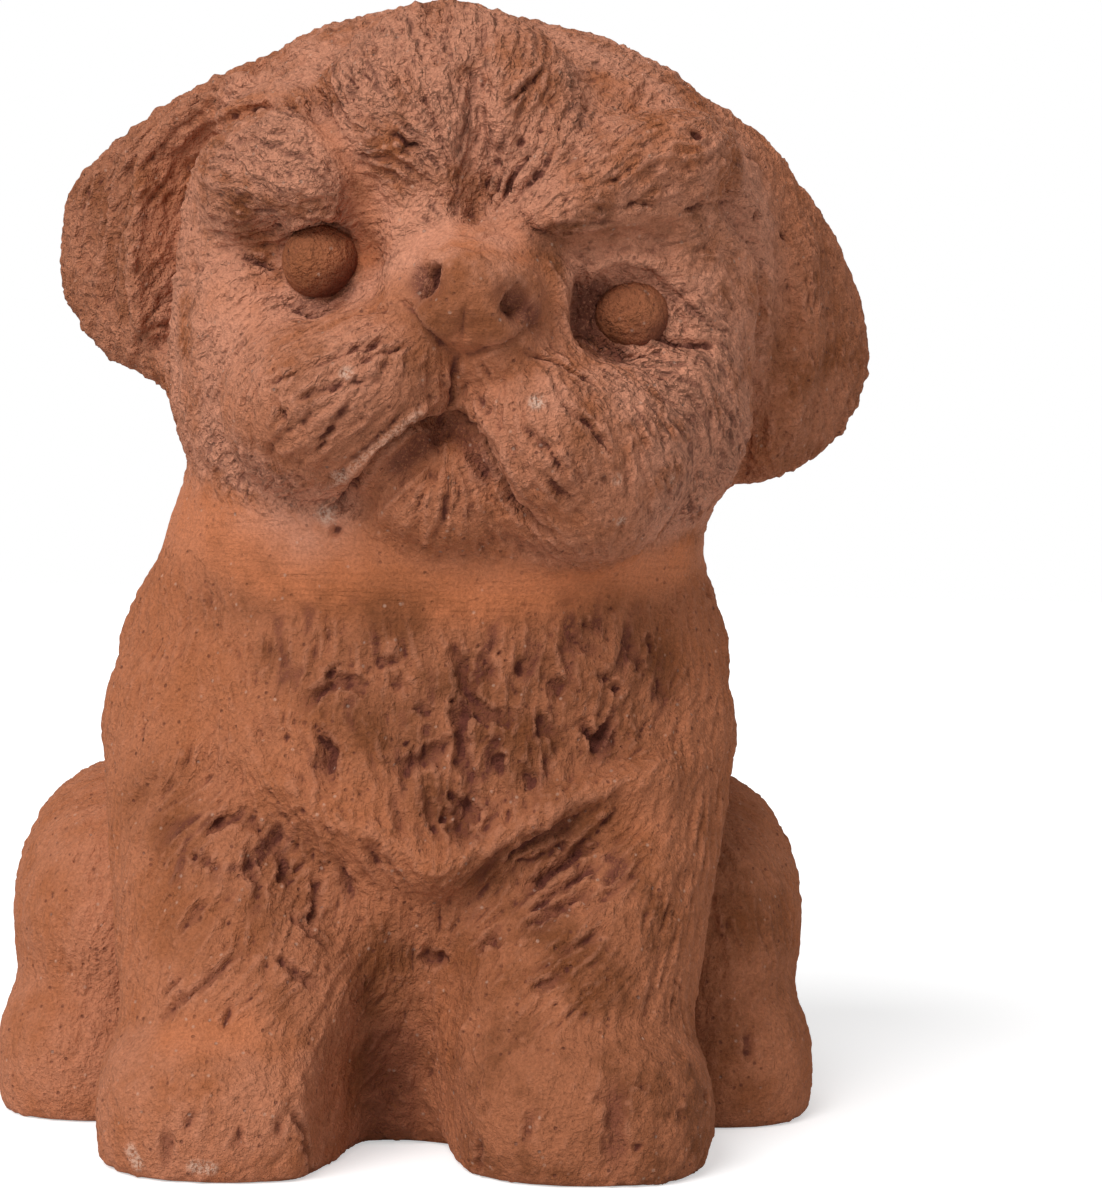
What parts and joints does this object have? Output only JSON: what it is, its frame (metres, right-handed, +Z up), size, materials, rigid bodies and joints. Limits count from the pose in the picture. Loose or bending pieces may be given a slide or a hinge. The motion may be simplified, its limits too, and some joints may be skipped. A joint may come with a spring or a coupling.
{
  "type": "dog figurine",
  "caption": "Seated puppy ornament in coarse terracotta with a tilted head and drop ears, hollow and open below, for standing in a garden or on a shelf.",
  "frame": {"origin": "middle of the figure's box, on the floor that it stands on", "axes": "+Z up through the head, the dog looks along -Y, +X is the dog's own left"},
  "size_m": [0.1944, 0.182, 0.2445],
  "materials": {
    "terracotta": "matte",
    "terracotta_wiped": "matte"
  },
  "bodies": {
    "root": {"torso_shell": "terracotta", "neck_coil": "terracotta_wiped", "head_shell": "terracotta", "forelock": "terracotta", "right_brow": "terracotta", "left_brow": "terracotta", "right_eyeball": "terracotta_wiped", "left_eyeball": "terracotta_wiped", "nose_pad": "terracotta_wiped", "right_flew": "terracotta", "left_flew": "terracotta", "chin": "terracotta", "right_ear": "terracotta", "left_ear": "terracotta", "right_foreleg": "terracotta", "left_foreleg": "terracotta", "right_forepaw": "terracotta", "left_forepaw": "terracotta", "right_haunch": "terracotta", "left_haunch": "terracotta", "right_hind_paw": "terracotta", "left_hind_paw": "terracotta", "tail": "terracotta"}
  },
  "joints": []
}
